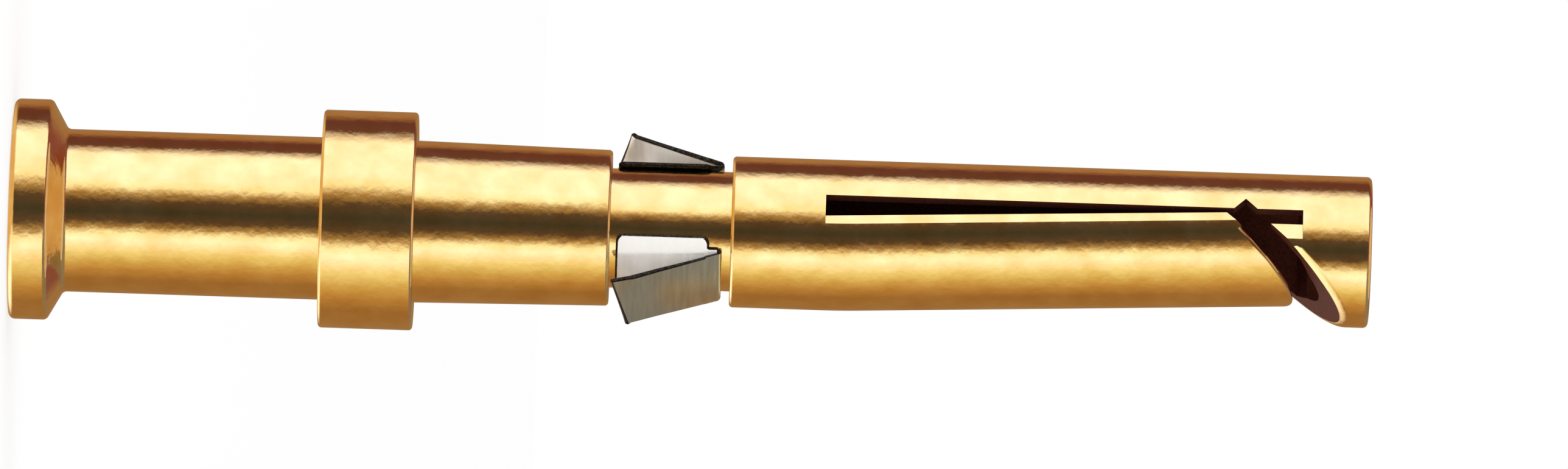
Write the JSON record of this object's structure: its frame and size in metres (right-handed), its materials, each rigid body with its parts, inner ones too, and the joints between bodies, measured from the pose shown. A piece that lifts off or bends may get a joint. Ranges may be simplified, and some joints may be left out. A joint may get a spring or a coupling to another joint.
{
  "type": "socket contact",
  "caption": "Turned crimp socket contact: flanged wire barrel, stop collar, slotted spring socket with a slanting cut, and a folded steel retention clip with flared lances.",
  "frame": {"origin": "centre of the flat rear face at the wire end", "axes": "+Z along the contact's axis from the wire end to the socket's mouth"},
  "size_m": [0.0036, 0.0036, 0.0223],
  "materials": {
    "gold_plate": "polished gold plate on a turned copper alloy",
    "spring_steel": "rolled stainless spring strip"
  },
  "bodies": {
    "root": {"contact_body": "gold_plate", "retention_clip": "spring_steel"}
  },
  "joints": []
}
